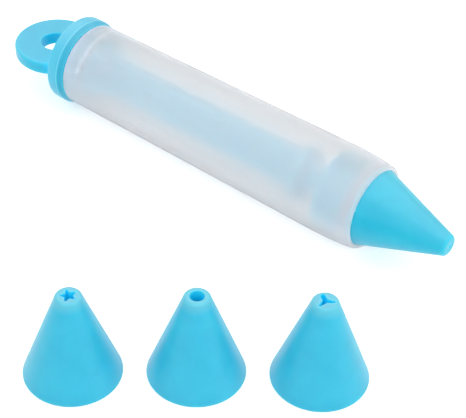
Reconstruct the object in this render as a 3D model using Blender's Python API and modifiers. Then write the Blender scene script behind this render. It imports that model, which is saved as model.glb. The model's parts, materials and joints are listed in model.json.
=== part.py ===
"""Cake decorating syringe with a fitted writing nozzle and three spare nozzles.

A translucent silicone barrel lies on its side. A plunger with a hanging loop draws a soft
piston through it, a hollow cone nozzle is snapped behind the lip of its mouth, and three
more nozzles stand beside it. Lengths are in metres. +X points from the loop to the tip of
the nozzle, +Z is up, and the origin is under the middle of the whole set, on the surface
that it stands on. Along the syringe, a station is a distance from the barrel's rear rim.
"""

import math

import bmesh
import bpy

# Fits that all pieces share
CLEARANCE = 0.0003
OVERRUN = 0.001

# Barrel: a turned silicone tube, fattest near its mouth
BORE_RADIUS = 0.0122
BARREL_LENGTH = 0.1123
REAR_WALL = 0.0013
BULGE_WALL = 0.00205
BULGE_SETBACK = 0.0133
SHOULDER_WALL = 0.00125
MOUTH_ROUNDING = 0.0014
RIM_ROUNDING_SHARE = 0.35

# Mouth of the barrel: a groove that holds the nozzle's rim, and the lip in front of it
SEAT_DEPTH = 0.0006
LIP_THICKNESS = 0.0009
LIP_FLAT = 0.00015

# Nozzles: hollow cones with a thicker tip
NOZZLE_LENGTH = 0.0279
NOZZLE_BASE_RADIUS = 0.01363
NOZZLE_TIP_RADIUS = 0.00345
NOZZLE_WALL = 0.0014
NOZZLE_TIP_THICKNESS = 0.004
NOZZLE_TIP_ROUNDING = 0.0011
NOZZLE_BASE_ROUNDING = 0.0003
NOZZLE_RIM_HEIGHT = 0.0008

# The openings that shape the icing
WRITING_TIP_RADIUS = 0.0031
WRITING_HOLE_RADIUS = 0.0004
ROUND_HOLE_RADIUS = 0.002
STAR_OUTER_RADIUS = 0.0024
STAR_INNER_RADIUS = 0.00122
STAR_POINTS = 5
STAR_TURN = math.radians(4)
SLOT_REACH = 0.0026
SLOT_WAIST_RADIUS = 0.0008
SLOT_BROAD_END = 0.0013
SLOT_NARROW_END = 0.0006
SLOT_TURN = math.radians(28)

# Piston: two sealing rings with a waist between them, and a shallow domed front
PISTON_LENGTH = 0.0093
PISTON_DOME_HEIGHT = 0.0016
PISTON_TO_NOZZLE = 0.003
SEAL_LENGTH = 0.0021
SEAL_ROUNDING = 0.0005
WAIST_DEPTH = 0.001
PISTON_FLOOR = 0.0016

# Plunger rod: a cross-ribbed stiff moulding with a snap head at each end
HEAD_RADIUS = 0.0065
HEAD_LENGTH = 0.0051
HEAD_RIM_HEIGHT = 0.0018
HEAD_NOSE_RADIUS = 0.0036
NECK_RADIUS = 0.004
NECK_LENGTH = 0.009
FLANGE_GAP = 0.0039
FLANGE_THICKNESS = 0.003
RIB_HALF_WIDTH = 0.0079
RIB_THICKNESS = 0.002
RIB_EDGE = 0.0003
CORE_RADIUS = 0.0022
FLARE_LENGTH = 0.0162
FLARE_SET_IN = 0.0005
ROOT_GAP = 0.0022
ROOT_THICKNESS = 0.0016
SPIGOT_RADIUS = 0.0035
SPIGOT_HEAD_RADIUS = 0.005
SPIGOT_HEAD_LENGTH = 0.002

# Tail cap: collar against the barrel's rim, plug in the bore, flat hanging loop behind
COLLAR_STEP = 0.00075
COLLAR_THICKNESS = 0.0061
COLLAR_CHAMFER_LENGTH = 0.0019
COLLAR_CHAMFER_DEPTH = 0.0009
COLLAR_ROUNDING = 0.0008
PLUG_LENGTH = 0.005
PLUG_ROUNDING = 0.0006
SOCKET_FLOOR = 0.0018
LOOP_RADIUS = 0.01352
LOOP_HOLE_RADIUS = 0.0048
LOOP_THICKNESS = 0.0044
LOOP_ROUNDING = 0.0009
LOOP_HOLE_ROUNDING = 0.0005
LOOP_SINK = 0.00425

# Where the spare nozzles stand: a slightly bowed row, slanting past the mouth
ROW_TURN = math.radians(38.45)
ROW_BEFORE_MOUTH = 0.0062
ROW_BOW = 0.0008
NOZZLE_GAP = 0.006
SIDE_GAP = 0.0249

# Smoothness
BARREL_STEPS = 56
CAP_STEPS = 48
PISTON_STEPS = 40
ROD_STEPS = 32
NOZZLE_STEPS = 48
ARC_STEPS = 3
SEAL_ARC_STEPS = 2
TIP_ARC_STEPS = 4
SLOT_ARC_STEPS = 4
DOME_STEPS = 4
BOW_STEPS = 5
FLARE_STEPS = 5
SHARP_ANGLE = math.radians(32)
MERGE_DISTANCE = 0.00001

# Radii that follow from the bore
REAR_RADIUS = BORE_RADIUS + REAR_WALL
BULGE_RADIUS = BORE_RADIUS + BULGE_WALL
SHOULDER_RADIUS = BORE_RADIUS + SHOULDER_WALL
SEAT_RADIUS = BORE_RADIUS + SEAT_DEPTH
SLIDING_RADIUS = BORE_RADIUS - CLEARANCE
COLLAR_RADIUS = REAR_RADIUS + COLLAR_STEP
FLANGE_RADIUS = BORE_RADIUS - FLANGE_GAP
ROOT_RADIUS = BORE_RADIUS - ROOT_GAP
FITTED_BASE_RADIUS = SEAT_RADIUS - CLEARANCE

# Stations, from the mouth backwards
LIP_BACK = BARREL_LENGTH - LIP_THICKNESS
FITTED_BASE = LIP_BACK - CLEARANCE - NOZZLE_RIM_HEIGHT
SEAT_START = FITTED_BASE - CLEARANCE
PISTON_FRONT = FITTED_BASE - PISTON_TO_NOZZLE
PISTON_REAR = PISTON_FRONT - PISTON_LENGTH
HEAD_REAR = PISTON_REAR + PISTON_FLOOR + CLEARANCE
HEAD_FRONT = HEAD_REAR + HEAD_LENGTH
FLANGE_FRONT = PISTON_REAR - NECK_LENGTH
FLANGE_REAR = FLANGE_FRONT - FLANGE_THICKNESS

# Stations of the tail, from the barrel's rear rim
COLLAR_FRONT = -CLEARANCE
COLLAR_REAR = COLLAR_FRONT - COLLAR_THICKNESS
PLUG_FRONT = COLLAR_FRONT + PLUG_LENGTH
SOCKET_END = COLLAR_REAR + SOCKET_FLOOR
SPIGOT_END = SOCKET_END + CLEARANCE
SPIGOT_SHOULDER = SPIGOT_END + SPIGOT_HEAD_LENGTH
ROOT_REAR = PLUG_FRONT + CLEARANCE
ROOT_FRONT = ROOT_REAR + ROOT_THICKNESS
LOOP_CENTRE = COLLAR_REAR + LOOP_SINK - LOOP_RADIUS

# Places on the table
REST_HEIGHT = max(COLLAR_RADIUS, BULGE_RADIUS)
NOZZLE_PITCH = NOZZLE_BASE_RADIUS + NOZZLE_BASE_RADIUS + NOZZLE_GAP
ROW_CENTRE_ALONG = BARREL_LENGTH - ROW_BEFORE_MOUTH
ROW_CENTRE_ASIDE = REST_HEIGHT + SIDE_GAP + NOZZLE_BASE_RADIUS + NOZZLE_PITCH * math.sin(ROW_TURN)

# Colours as they are seen, each channel from 0 to 1
SILICONE_BLUE = (0.29, 0.77, 0.91)
ROD_BLUE = (0.25, 0.72, 0.88)
PISTON_BLUE = (0.27, 0.75, 0.90)
FROSTED_WHITE = (0.88, 0.89, 0.91)
SILICONE_ROUGHNESS = 0.45
ROD_ROUGHNESS = 0.3
FROSTED_ROUGHNESS = 0.4
FROSTED_TRANSMISSION = 0.6


def linear(channel):
    """Turns one seen colour channel into the linear value that a shader takes."""
    if channel <= 0.04045:
        return channel / 12.92
    return ((channel + 0.055) / 1.055) ** 2.4


def plastic(name, colour, roughness, transmission=0.0):
    """Makes a moulded plastic or silicone finish."""
    finish = bpy.data.materials.new(name)
    finish.use_nodes = True
    shader = finish.node_tree.nodes["Principled BSDF"]
    shader.inputs["Base Color"].default_value = (*[linear(channel) for channel in colour], 1.0)
    shader.inputs["Roughness"].default_value = roughness
    shader.inputs["Metallic"].default_value = 0.0
    shader.inputs["Transmission Weight"].default_value = transmission
    return finish


def new_collection(name):
    """Adds a collection to the scene."""
    collection = bpy.data.collections.new(name)
    bpy.context.scene.collection.children.link(collection)
    return collection


def arc(centre, radii, start, end, steps=ARC_STEPS):
    """Points along part of an ellipse in a profile; angles are in degrees."""
    points = []
    for step in range(steps + 1):
        angle = math.radians(start + (end - start) * step / steps)
        points.append((centre[0] + radii[0] * math.cos(angle), centre[1] + radii[1] * math.sin(angle)))
    return points


def put(obj, collection, parent, location, rotation):
    """Links an object, hangs it on its parent and places it there."""
    collection.objects.link(obj)
    obj.parent = parent
    obj.location = location
    obj.rotation_euler = rotation


def turned(name, profile, steps, collection, parent=None, location=(0, 0, 0), rotation=(0, 0, 0), ring=False):
    """Turns a profile of (radius, height) points round local Z; a ring's profile is closed."""
    mesh = bpy.data.meshes.new(name)
    vertices = [(radius, 0.0, height) for radius, height in profile]
    edges = [(index, index + 1) for index in range(len(vertices) - 1)]
    if ring:
        edges.append((len(vertices) - 1, 0))
    mesh.from_pydata(vertices, edges, [])
    obj = bpy.data.objects.new(name, mesh)
    put(obj, collection, parent, location, rotation)
    screw = obj.modifiers.new("turn", "SCREW")
    screw.axis = "Z"
    screw.angle = math.tau
    screw.steps = steps
    screw.render_steps = steps
    screw.use_merge_vertices = True
    screw.merge_threshold = MERGE_DISTANCE
    return obj


def flat_shape(name, outline, thickness, collection, parent=None, location=(0, 0, 0), rotation=(0, 0, 0)):
    """Makes a plate from a closed outline in the local XY plane, half its thickness each way."""
    curve = bpy.data.curves.new(name, "CURVE")
    curve.dimensions = "2D"
    curve.fill_mode = "BOTH"
    curve.extrude = thickness / 2
    spline = curve.splines.new("POLY")
    spline.points.add(len(outline) - 1)
    for point, (x, y) in zip(spline.points, outline):
        point.co = (x, y, 0.0, 1.0)
    spline.use_cyclic_u = True
    drawn = bpy.data.objects.new(name, curve)
    collection.objects.link(drawn)
    bpy.context.view_layer.update()
    graph = bpy.context.evaluated_depsgraph_get()
    mesh = bpy.data.meshes.new_from_object(drawn.evaluated_get(graph))
    bpy.data.objects.remove(drawn)
    weld(mesh)
    plate = bpy.data.objects.new(name, mesh)
    put(plate, collection, parent, location, rotation)
    return plate


def weld(mesh):
    """Joins the loose caps of a mesh to its sides."""
    work = bmesh.new()
    work.from_mesh(mesh)
    bmesh.ops.remove_doubles(work, verts=work.verts, dist=MERGE_DISTANCE)
    work.to_mesh(mesh)
    work.free()


def as_tool(obj):
    """Marks an object as a helper that is only cut with or joined on."""
    obj.hide_render = True
    obj.display_type = "WIRE"


def combine(obj, tool, operation):
    """Cuts a tool out of an object, or joins it on."""
    as_tool(tool)
    boolean = obj.modifiers.new(tool.name, "BOOLEAN")
    boolean.operation = operation
    boolean.solver = "EXACT"
    boolean.object = tool


def settle(obj, finish):
    """Turns the modifiers into a plain mesh, shades its round faces smooth and gives it its finish."""
    bpy.context.view_layer.update()
    graph = bpy.context.evaluated_depsgraph_get()
    mesh = bpy.data.meshes.new_from_object(obj.evaluated_get(graph))
    mesh.name = obj.name
    obj.modifiers.clear()
    obj.data = mesh
    weld(mesh)
    mesh.materials.clear()
    mesh.materials.append(finish)
    mesh.shade_smooth()
    mesh.set_sharp_from_angle(angle=SHARP_ANGLE)
    return obj


def fitted_cone_radius(station):
    """Outer radius of the fitted nozzle at a station of the barrel."""
    share = (station - FITTED_BASE) / NOZZLE_LENGTH
    return FITTED_BASE_RADIUS + (WRITING_TIP_RADIUS - FITTED_BASE_RADIUS) * share


def barrel_profile():
    """Outside from the mouth to the rear rim, then the bore back to the mouth."""
    lip_front_radius = fitted_cone_radius(BARREL_LENGTH) + CLEARANCE
    lip_back_radius = fitted_cone_radius(LIP_BACK) + CLEARANCE
    lip_edge = lip_front_radius + LIP_FLAT
    shoulder = BARREL_LENGTH - MOUTH_ROUNDING
    bulge = BARREL_LENGTH - BULGE_SETBACK
    rim_rounding = REAR_WALL * RIM_ROUNDING_SHARE
    points = [(lip_front_radius, BARREL_LENGTH)]
    points += arc((lip_edge, shoulder), (SHOULDER_RADIUS - lip_edge, MOUTH_ROUNDING), 90, 0)
    for step in range(1, BOW_STEPS + 1):
        share = 1 - step / BOW_STEPS
        radius = BULGE_RADIUS - (BULGE_RADIUS - SHOULDER_RADIUS) * share**2
        points.append((radius, bulge + (shoulder - bulge) * share))
    points += arc((REAR_RADIUS - rim_rounding, rim_rounding), (rim_rounding, rim_rounding), 0, -90)
    points += arc((BORE_RADIUS + rim_rounding, rim_rounding), (rim_rounding, rim_rounding), -90, -180)
    points += [
        (BORE_RADIUS, SEAT_START),
        (SEAT_RADIUS, SEAT_START),
        (SEAT_RADIUS, LIP_BACK),
        (lip_back_radius, LIP_BACK),
    ]
    return points


def make_barrel(collection, axis):
    """The translucent tube that holds the icing."""
    barrel = turned("barrel", barrel_profile(), BARREL_STEPS, collection, axis, ring=True)
    return settle(barrel, plastic("frosted_silicone", FROSTED_WHITE, FROSTED_ROUGHNESS, FROSTED_TRANSMISSION))


def collar_profile():
    """Plug and collar, from the plug's front face down to the collar's rear face."""
    plug_edge = PLUG_FRONT - PLUG_ROUNDING
    rear_edge = COLLAR_REAR + COLLAR_ROUNDING
    points = [(0.0, PLUG_FRONT)]
    points += arc((SLIDING_RADIUS - PLUG_ROUNDING, plug_edge), (PLUG_ROUNDING, PLUG_ROUNDING), 90, 0)
    points += [
        (SLIDING_RADIUS, COLLAR_FRONT),
        (COLLAR_RADIUS - COLLAR_CHAMFER_DEPTH, COLLAR_FRONT),
        (COLLAR_RADIUS, COLLAR_FRONT - COLLAR_CHAMFER_LENGTH),
    ]
    points += arc((COLLAR_RADIUS - COLLAR_ROUNDING, rear_edge), (COLLAR_ROUNDING, COLLAR_ROUNDING), 0, -90)
    points.append((0.0, COLLAR_REAR))
    return points


def socket_profile():
    """Space that the rod's spigot snaps into: a throat through the plug and a wider pocket behind it."""
    pocket_radius = SPIGOT_HEAD_RADIUS + CLEARANCE
    throat_radius = SPIGOT_RADIUS + CLEARANCE
    pocket_top = SPIGOT_SHOULDER + CLEARANCE
    return [
        (0.0, PLUG_FRONT + OVERRUN),
        (throat_radius, PLUG_FRONT + OVERRUN),
        (throat_radius, pocket_top),
        (pocket_radius, pocket_top),
        (pocket_radius, SOCKET_END),
        (0.0, SOCKET_END),
    ]


def loop_profile():
    """Half section of the flat ring that the syringe hangs by, as a closed loop of points."""
    half = LOOP_THICKNESS / 2
    hole = (LOOP_HOLE_ROUNDING, LOOP_HOLE_ROUNDING)
    edge = (LOOP_ROUNDING, LOOP_ROUNDING)
    hole_centre = LOOP_HOLE_RADIUS + LOOP_HOLE_ROUNDING
    edge_centre = LOOP_RADIUS - LOOP_ROUNDING
    points = arc((hole_centre, half - LOOP_HOLE_ROUNDING), hole, 180, 90)
    points += arc((edge_centre, half - LOOP_ROUNDING), edge, 90, 0)
    points += arc((edge_centre, LOOP_ROUNDING - half), edge, 0, -90)
    points += arc((hole_centre, LOOP_HOLE_ROUNDING - half), hole, -90, -180)
    return points


def make_tail_cap(collection, helpers, axis):
    """Collar, plug and hanging loop in one soft moulding."""
    cap = turned("tail_cap", collar_profile(), CAP_STEPS, collection, axis)
    upright = (0, -math.pi / 2, 0)
    loop = turned("loop", loop_profile(), CAP_STEPS, helpers, axis, (0, 0, LOOP_CENTRE), upright, ring=True)
    socket = turned("socket", socket_profile(), ROD_STEPS, helpers, axis)
    combine(cap, loop, "UNION")
    combine(cap, socket, "DIFFERENCE")
    return settle(cap, plastic("cap_silicone", SILICONE_BLUE, SILICONE_ROUGHNESS))


def core_profile():
    """Snap head, neck, flange, core, root disc and spigot of the rod, from its front to its rear."""
    return [
        (0.0, HEAD_FRONT),
        (HEAD_NOSE_RADIUS, HEAD_FRONT),
        (HEAD_RADIUS, HEAD_REAR + HEAD_RIM_HEIGHT),
        (HEAD_RADIUS, HEAD_REAR),
        (NECK_RADIUS, HEAD_REAR),
        (NECK_RADIUS, FLANGE_FRONT),
        (FLANGE_RADIUS, FLANGE_FRONT),
        (FLANGE_RADIUS, FLANGE_REAR),
        (CORE_RADIUS, FLANGE_REAR),
        (CORE_RADIUS, ROOT_FRONT),
        (ROOT_RADIUS, ROOT_FRONT),
        (ROOT_RADIUS, ROOT_REAR),
        (SPIGOT_RADIUS, ROOT_REAR),
        (SPIGOT_RADIUS, SPIGOT_SHOULDER),
        (SPIGOT_HEAD_RADIUS, SPIGOT_SHOULDER),
        (SPIGOT_RADIUS, SPIGOT_END),
        (0.0, SPIGOT_END),
    ]


def rib_sections():
    """Stations of a rib with its half width there, from inside the root disc to inside the flange."""
    rear = ROOT_FRONT - ROOT_THICKNESS / 2
    front = FLANGE_REAR + FLANGE_THICKNESS / 2
    root_half_width = ROOT_RADIUS - FLARE_SET_IN
    sections = []
    for step in range(FLARE_STEPS + 1):
        share = step / FLARE_STEPS
        half_width = RIB_HALF_WIDTH + (root_half_width - RIB_HALF_WIDTH) * (1 - share) ** 2
        sections.append((rear + FLARE_LENGTH * share, half_width))
    sections.append((front, RIB_HALF_WIDTH))
    return sections


def make_rib(name, turn, collection, axis):
    """A flat rib with chamfered edges, skinned over its cross sections."""
    side = RIB_THICKNESS / 2
    side_edge = side - RIB_EDGE
    vertices = []
    for station, half_width in rib_sections():
        top_edge = half_width - RIB_EDGE
        corners = [(half_width, side_edge), (top_edge, side), (-top_edge, side), (-half_width, side_edge)]
        corners += [(-x, -y) for x, y in corners]
        vertices += [(x, y, station) for x, y in corners]
    count = len(corners)
    last = len(vertices) - count
    faces = [tuple(reversed(range(count))), tuple(range(last, len(vertices)))]
    for first in range(0, last, count):
        for corner in range(count):
            here = first + corner
            beside = first + (corner + 1) % count
            faces.append((here, beside, beside + count, here + count))
    mesh = bpy.data.meshes.new(name)
    mesh.from_pydata(vertices, [], faces)
    rib = bpy.data.objects.new(name, mesh)
    put(rib, collection, axis, (0, 0, 0), (0, 0, turn))
    return rib


def make_plunger_rod(collection, helpers, axis):
    """The stiff rod between the tail cap and the piston."""
    rod = turned("plunger_rod", core_profile(), ROD_STEPS, collection, axis)
    for name, turn in (("rib_upright", 0.0), ("rib_level", math.pi / 2)):
        rib = make_rib(name, turn, helpers, axis)
        combine(rod, rib, "UNION")
    return settle(rod, plastic("rod_plastic", ROD_BLUE, ROD_ROUGHNESS))


def piston_profile():
    """Dome and sealing rings down to the rear face, then up inside the pocket of the snap head."""
    throat_radius = NECK_RADIUS + CLEARANCE
    pocket_radius = HEAD_RADIUS + CLEARANCE
    pocket_floor = PISTON_REAR + PISTON_FLOOR
    pocket_top = HEAD_FRONT + CLEARANCE
    waist_radius = SLIDING_RADIUS - WAIST_DEPTH
    seal = (SEAL_ROUNDING, SEAL_ROUNDING)
    seal_centre = SLIDING_RADIUS - SEAL_ROUNDING
    front_seal_rear = PISTON_FRONT - SEAL_LENGTH
    rear_seal_front = PISTON_REAR + SEAL_LENGTH
    points = arc((0.0, PISTON_FRONT), (waist_radius, PISTON_DOME_HEIGHT), 90, 0, DOME_STEPS)
    points += arc((seal_centre, PISTON_FRONT - SEAL_ROUNDING), seal, 90, 0, SEAL_ARC_STEPS)
    points += arc((seal_centre, front_seal_rear + SEAL_ROUNDING), seal, 0, -90, SEAL_ARC_STEPS)
    points += [(waist_radius, front_seal_rear), (waist_radius, rear_seal_front)]
    points += arc((seal_centre, rear_seal_front - SEAL_ROUNDING), seal, 90, 0, SEAL_ARC_STEPS)
    points += arc((seal_centre, PISTON_REAR + SEAL_ROUNDING), seal, 0, -90, SEAL_ARC_STEPS)
    points += [
        (throat_radius, PISTON_REAR),
        (throat_radius, pocket_floor),
        (pocket_radius, pocket_floor),
        (pocket_radius, HEAD_REAR + HEAD_RIM_HEIGHT + CLEARANCE),
        (HEAD_NOSE_RADIUS + CLEARANCE, pocket_top),
        (0.0, pocket_top),
    ]
    return [(radius, height - PISTON_REAR) for radius, height in points]


def make_piston(collection, axis):
    """The soft seal that snaps over the head of the rod."""
    piston = turned("piston", piston_profile(), PISTON_STEPS, collection, axis, (0, 0, PISTON_REAR))
    return settle(piston, plastic("piston_silicone", PISTON_BLUE, SILICONE_ROUGHNESS))


def nozzle_profile(base_radius, tip_radius, hole_radius=0.0):
    """Tip and outer cone down to the base, then up inside; no hole radius leaves the tip closed."""
    slope = (base_radius - tip_radius) / NOZZLE_LENGTH
    lean = math.atan(slope)
    cavity_top = NOZZLE_LENGTH - NOZZLE_TIP_THICKNESS
    cavity_radius = tip_radius + slope * NOZZLE_TIP_THICKNESS - NOZZLE_WALL
    rounding_height = NOZZLE_LENGTH - NOZZLE_TIP_ROUNDING
    rounding_centre = tip_radius + (slope - 1 / math.cos(lean)) * NOZZLE_TIP_ROUNDING
    rounding = (NOZZLE_TIP_ROUNDING, NOZZLE_TIP_ROUNDING)
    points = [(hole_radius, NOZZLE_LENGTH)]
    points += arc((rounding_centre, rounding_height), rounding, 90, math.degrees(lean), TIP_ARC_STEPS)
    points += [
        (base_radius - slope * NOZZLE_BASE_ROUNDING, NOZZLE_BASE_ROUNDING),
        (base_radius - NOZZLE_BASE_ROUNDING, 0.0),
        (base_radius - NOZZLE_WALL, 0.0),
        (cavity_radius, cavity_top),
        (hole_radius, cavity_top),
    ]
    return points


def star_outline():
    """A star with sharp points and straight sides."""
    outline = []
    for index in range(STAR_POINTS + STAR_POINTS):
        radius = STAR_INNER_RADIUS if index % 2 else STAR_OUTER_RADIUS
        angle = math.pi * index / STAR_POINTS
        outline.append((radius * math.cos(angle), radius * math.sin(angle)))
    return outline


def slot_outline():
    """Three arms with round ends about a narrow waist; the second arm is broader than the others."""
    ends = (SLOT_NARROW_END, SLOT_BROAD_END, SLOT_NARROW_END)
    outline = []
    for index, end in enumerate(ends):
        angle = math.tau * index / len(ends)
        notch = angle + math.pi / len(ends)
        reach = SLOT_REACH - end / 2
        centre = (reach * math.cos(angle), reach * math.sin(angle))
        towards = math.degrees(angle)
        outline += arc(centre, (end / 2, end / 2), towards - 90, towards + 90, SLOT_ARC_STEPS)
        outline.append((SLOT_WAIST_RADIUS * math.cos(notch), SLOT_WAIST_RADIUS * math.sin(notch)))
    return outline


def make_writing_nozzle(collection, axis):
    """The nozzle in the barrel's mouth, with a fine round hole."""
    profile = nozzle_profile(FITTED_BASE_RADIUS, WRITING_TIP_RADIUS, WRITING_HOLE_RADIUS)
    place = (0, 0, FITTED_BASE)
    nozzle = turned("writing_nozzle", profile, NOZZLE_STEPS, collection, axis, place, ring=True)
    return settle(nozzle, plastic("writing_nozzle_silicone", SILICONE_BLUE, SILICONE_ROUGHNESS))


def make_round_nozzle(collection, row, place):
    """A standing spare with a wide round hole."""
    profile = nozzle_profile(NOZZLE_BASE_RADIUS, NOZZLE_TIP_RADIUS, ROUND_HOLE_RADIUS)
    nozzle = turned("round_nozzle", profile, NOZZLE_STEPS, collection, row, place, ring=True)
    return settle(nozzle, plastic("round_nozzle_silicone", SILICONE_BLUE, SILICONE_ROUGHNESS))


def make_shaped_nozzle(name, outline, turn, collection, helpers, row, place):
    """A standing spare whose tip is cut through with an outline."""
    profile = nozzle_profile(NOZZLE_BASE_RADIUS, NOZZLE_TIP_RADIUS)
    nozzle = turned(name, profile, NOZZLE_STEPS, collection, row, place)
    depth = NOZZLE_TIP_THICKNESS + OVERRUN + OVERRUN
    middle = NOZZLE_LENGTH - NOZZLE_TIP_THICKNESS / 2
    centre = (place[0], place[1], middle)
    hole = flat_shape(name + "_hole", outline, depth, helpers, row, centre, (0, 0, turn))
    combine(nozzle, hole, "DIFFERENCE")
    return settle(nozzle, plastic(name + "_silicone", SILICONE_BLUE, SILICONE_ROUGHNESS))


def row_places():
    """Places of the three spares along the row's own X, the middle one set back by the bow."""
    return [(-NOZZLE_PITCH, 0.0, 0.0), (0.0, ROW_BOW, 0.0), (NOZZLE_PITCH, 0.0, 0.0)]


def set_middle():
    """Middle of the whole set, measured from the barrel's rear rim and from its axis."""
    reach_along = NOZZLE_PITCH * math.cos(ROW_TURN)
    reach_aside = NOZZLE_PITCH * math.sin(ROW_TURN)
    front = max(FITTED_BASE + NOZZLE_LENGTH, ROW_CENTRE_ALONG + reach_along + NOZZLE_BASE_RADIUS)
    rear = LOOP_CENTRE - LOOP_RADIUS
    far_side = REST_HEIGHT
    near_side = -ROW_CENTRE_ASIDE - reach_aside - NOZZLE_BASE_RADIUS
    return (front + rear) / 2, (far_side + near_side) / 2


def place_empty(name, collection, location, rotation):
    """An empty that carries a group of pieces."""
    empty = bpy.data.objects.new(name, None)
    empty.empty_display_size = BORE_RADIUS
    put(empty, collection, None, location, rotation)
    return empty


def main():
    """Builds the whole set."""
    for obj in list(bpy.data.objects):
        bpy.data.objects.remove(obj, do_unlink=True)
    pieces = new_collection("cake_decorating_syringe")
    helpers = new_collection("cutters")
    middle_along, middle_aside = set_middle()

    axis_place = (-middle_along, -middle_aside, REST_HEIGHT)
    axis = place_empty("syringe_axis", pieces, axis_place, (0, math.pi / 2, 0))
    make_barrel(pieces, axis)
    make_tail_cap(pieces, helpers, axis)
    make_plunger_rod(pieces, helpers, axis)
    make_piston(pieces, axis)
    make_writing_nozzle(pieces, axis)

    row_place = (ROW_CENTRE_ALONG - middle_along, -ROW_CENTRE_ASIDE - middle_aside, 0)
    row = place_empty("nozzle_row", pieces, row_place, (0, 0, ROW_TURN))
    star_place, round_place, slot_place = row_places()
    star_turn = STAR_TURN - ROW_TURN
    slot_turn = SLOT_TURN - ROW_TURN
    make_shaped_nozzle("star_nozzle", star_outline(), star_turn, pieces, helpers, row, star_place)
    make_round_nozzle(pieces, row, round_place)
    make_shaped_nozzle("three_slot_nozzle", slot_outline(), slot_turn, pieces, helpers, row, slot_place)
    bpy.context.view_layer.update()


main()
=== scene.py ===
# %% [markdown]
# A cake decorating syringe, dressed for a photograph.
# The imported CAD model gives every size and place, and this script gives the looks: each piece is
# modelled again as a smooth, rounded silicone or plastic moulding in exactly the same place, and gets
# a finish made of shader nodes. The pieces are the frosted barrel, the tail cap with its hanging
# loop, the ribbed plunger rod, the soft piston, the writing nozzle in the mouth, and three spare nozzles.

import json
import math

import bmesh
import bpy
from mathutils import Matrix, Vector

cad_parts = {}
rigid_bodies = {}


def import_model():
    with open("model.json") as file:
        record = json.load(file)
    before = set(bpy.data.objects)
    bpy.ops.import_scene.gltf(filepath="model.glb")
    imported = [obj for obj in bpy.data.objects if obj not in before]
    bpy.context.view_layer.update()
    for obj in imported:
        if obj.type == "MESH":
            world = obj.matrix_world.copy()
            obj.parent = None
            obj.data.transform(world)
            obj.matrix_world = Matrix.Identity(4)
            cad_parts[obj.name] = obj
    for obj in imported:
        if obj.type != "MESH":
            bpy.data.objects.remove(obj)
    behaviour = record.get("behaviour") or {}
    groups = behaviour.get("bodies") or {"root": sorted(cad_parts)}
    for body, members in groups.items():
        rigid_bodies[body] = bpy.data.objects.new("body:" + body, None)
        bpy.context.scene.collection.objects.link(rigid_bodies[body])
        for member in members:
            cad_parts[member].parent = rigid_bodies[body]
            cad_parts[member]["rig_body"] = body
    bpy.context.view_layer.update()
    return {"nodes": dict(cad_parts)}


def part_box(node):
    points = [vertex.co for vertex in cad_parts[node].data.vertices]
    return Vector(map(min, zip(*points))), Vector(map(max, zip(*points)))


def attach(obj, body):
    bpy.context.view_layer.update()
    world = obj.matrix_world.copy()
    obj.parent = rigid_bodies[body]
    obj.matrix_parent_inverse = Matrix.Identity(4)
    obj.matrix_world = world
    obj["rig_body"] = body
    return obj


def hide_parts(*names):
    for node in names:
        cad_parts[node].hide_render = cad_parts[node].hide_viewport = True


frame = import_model()
print("pieces in the frame:", ", ".join(sorted(frame["nodes"])))

# %% [markdown]
# The camera stands where the photographer stood, above and in front of the nozzle's end. A camera can be
# aimed with a constraint, with a matrix, or with a few angles round a target. The angles are
# easiest to read: a point on the table, a distance, a heading round the object, a height angle and
# a slight roll. The lens follows from the photograph's width and its focal length, both in pixels.

# %% Camera
PHOTO_WIDTH = 466
FOCAL_PIXELS = 1507.94
CAMERA_TARGET = Vector((0.0124966, 0.0330575, 0.0))
CAMERA_DISTANCE = 0.46004
CAMERA_HEADING = math.radians(37.680)
CAMERA_HEIGHT_ANGLE = math.radians(40.284)
CAMERA_ROLL = math.radians(1.739)


def add_camera():
    """Makes the camera and points it at the target."""
    camera = bpy.data.objects.new("camera", bpy.data.cameras.new("camera"))
    bpy.context.scene.collection.objects.link(camera)
    flat = math.cos(CAMERA_HEIGHT_ANGLE)
    up = math.sin(CAMERA_HEIGHT_ANGLE)
    back = Vector((math.sin(CAMERA_HEADING) * flat, -math.cos(CAMERA_HEADING) * flat, up))
    aim = (-back).to_track_quat("-Z", "Y").to_matrix().to_4x4()
    roll = Matrix.Rotation(CAMERA_ROLL, 4, "Z")
    camera.matrix_world = Matrix.Translation(CAMERA_TARGET + back * CAMERA_DISTANCE) @ aim @ roll
    camera.data.lens = camera.data.sensor_width * FOCAL_PIXELS / PHOTO_WIDTH
    bpy.context.scene.camera = camera
    return camera


camera = add_camera()
bpy.context.scene.view_settings.view_transform = "Standard"
print(f"lens {camera.data.lens:.1f} mm, {camera.location.length * 100:.0f} cm from the middle of the set")

# %% [markdown]
# Node trees are built by code here, so a few small helpers keep them readable: one adds a node and fills
# or links its inputs, others do one step of arithmetic or mix two colours, and two start a material and a
# node group with named sockets. A group is the shader's version of a function: the effect is built
# once, and each material places it with its own values.

# %% Helpers for shader nodes
BLACK = (0.0, 0.0, 0.0, 1.0)


def add_node(tree, kind, inputs=None, **settings):
    """Adds a node, sets its properties, and fills or links the inputs that are named."""
    node = tree.nodes.new(kind)
    for key, value in settings.items():
        setattr(node, key, value)
    for key, value in (inputs or {}).items():
        if isinstance(value, bpy.types.NodeSocket):
            tree.links.new(value, node.inputs[key])
        else:
            node.inputs[key].default_value = value
    return node


def math_node(tree, operation, first, second):
    """One arithmetic step on two values or sockets."""
    settings = {"operation": operation, "use_clamp": True}
    return add_node(tree, "ShaderNodeMath", {0: first, 1: second}, **settings).outputs["Value"]


def spread(tree, value, low=0.0, high=1.0, least=0.0, most=1.0):
    """Stretches the part of a value between low and high to the range from least to most."""
    inputs = {"Value": value, "From Min": low, "From Max": high, "To Min": least, "To Max": most}
    return add_node(tree, "ShaderNodeMapRange", inputs).outputs["Result"]


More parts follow.
